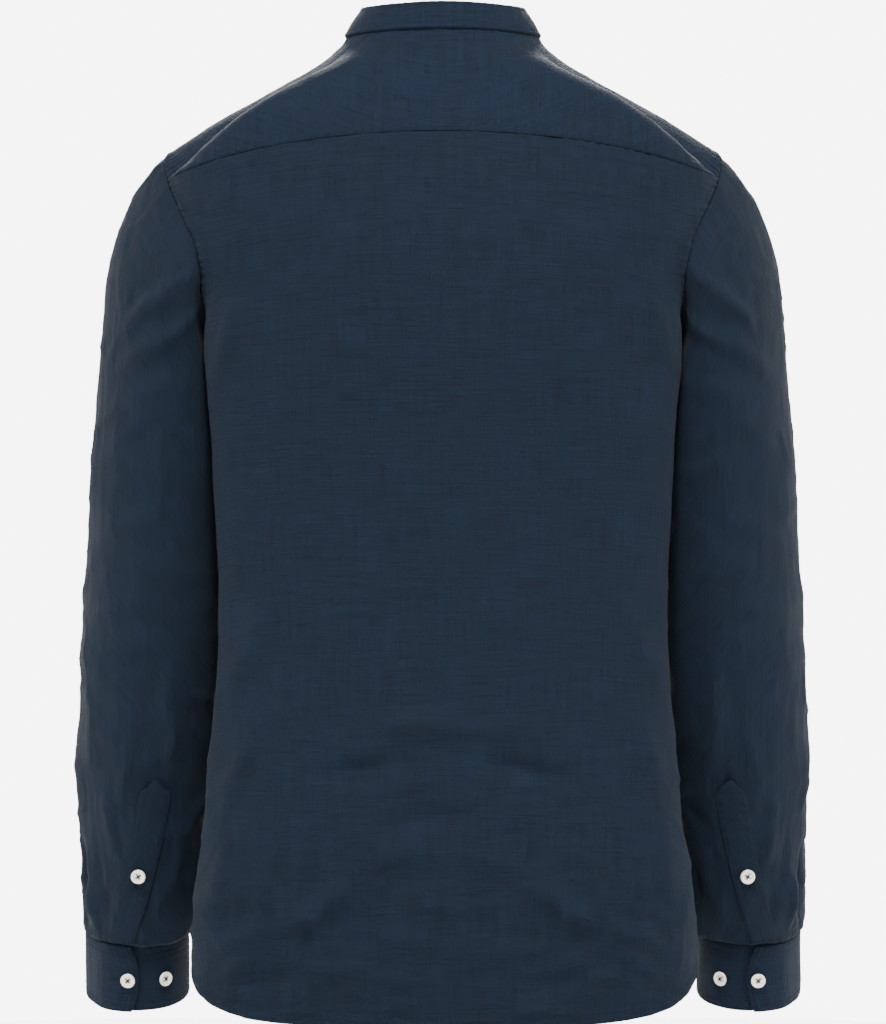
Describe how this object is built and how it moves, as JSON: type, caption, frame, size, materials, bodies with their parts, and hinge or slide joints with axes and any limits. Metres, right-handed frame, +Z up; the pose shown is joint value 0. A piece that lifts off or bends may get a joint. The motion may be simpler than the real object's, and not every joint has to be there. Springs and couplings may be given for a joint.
{
  "type": "mandarin collar shirt",
  "caption": "Long-sleeved navy linen shirt with a standing band collar, filled out and hollow, sleeves hanging, open at neck, hem and cuffs.",
  "frame": {"origin": "middle of the neck opening, level with the neck points, where the shirt rests on the wearer's shoulders", "axes": "+Z up, +X the wearer's left, +Y the back of the shirt, -Y its buttoned front"},
  "size_m": [0.5708, 0.2464, 0.7904],
  "materials": {
    "linen": "matte slub linen",
    "linen_doubled": "matte slub linen, two layers",
    "buttons": "satin grey-beige"
  },
  "bodies": {
    "root": {"back_panel": "linen", "front_left": "linen", "front_right": "linen", "front_placket": "linen", "sleeve_left": "linen", "sleeve_right": "linen", "sleeve_placket_left": "linen", "sleeve_placket_right": "linen", "back_yoke": "linen_doubled", "collar_band": "linen_doubled", "cuff_left": "linen_doubled", "cuff_right": "linen_doubled", "front_button_1": "buttons", "front_button_2": "buttons", "front_button_3": "buttons", "front_button_4": "buttons", "front_button_5": "buttons", "front_button_6": "buttons", "collar_button": "buttons", "placket_button_left": "buttons", "placket_button_right": "buttons", "cuff_button_left": "buttons", "cuff_button_right": "buttons", "cuff_inner_button_left": "buttons", "cuff_inner_button_right": "buttons"}
  },
  "joints": []
}
